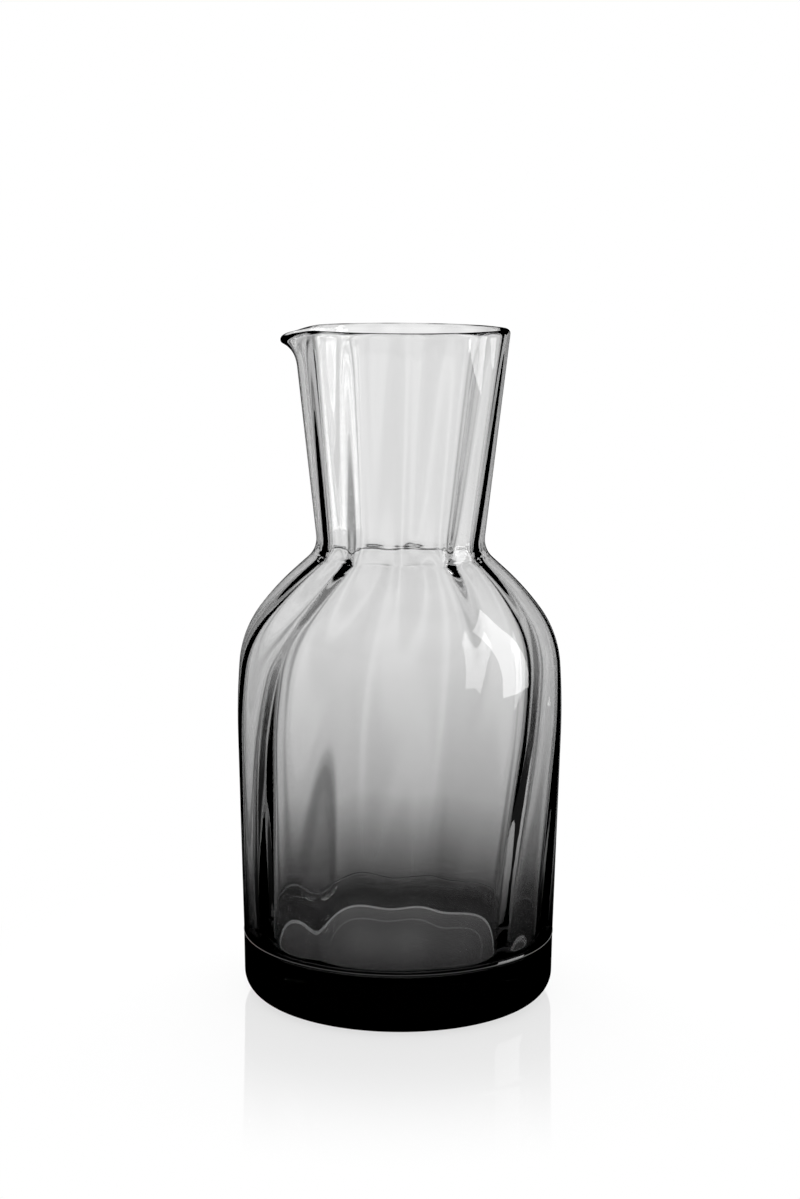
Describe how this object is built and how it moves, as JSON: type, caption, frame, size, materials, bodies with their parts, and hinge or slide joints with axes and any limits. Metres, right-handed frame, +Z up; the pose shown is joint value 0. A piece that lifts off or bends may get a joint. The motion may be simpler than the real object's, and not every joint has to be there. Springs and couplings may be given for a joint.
{
  "type": "water carafe",
  "caption": "One-piece smoke-grey glass water carafe: thick solid foot, twisted optic ribs inside, round shoulder, flared neck and a drawn pouring lip.",
  "frame": {"origin": "centre of the flat underside of the foot, on the table plane", "axes": "+Z up along the carafe's axis, pouring lip towards -X, front as pictured seen along +Y"},
  "size_m": [0.1162, 0.1162, 0.24],
  "materials": {
    "glass": "fire-polished, clear smoke grey"
  },
  "bodies": {
    "root": {"carafe": "glass"}
  },
  "joints": []
}
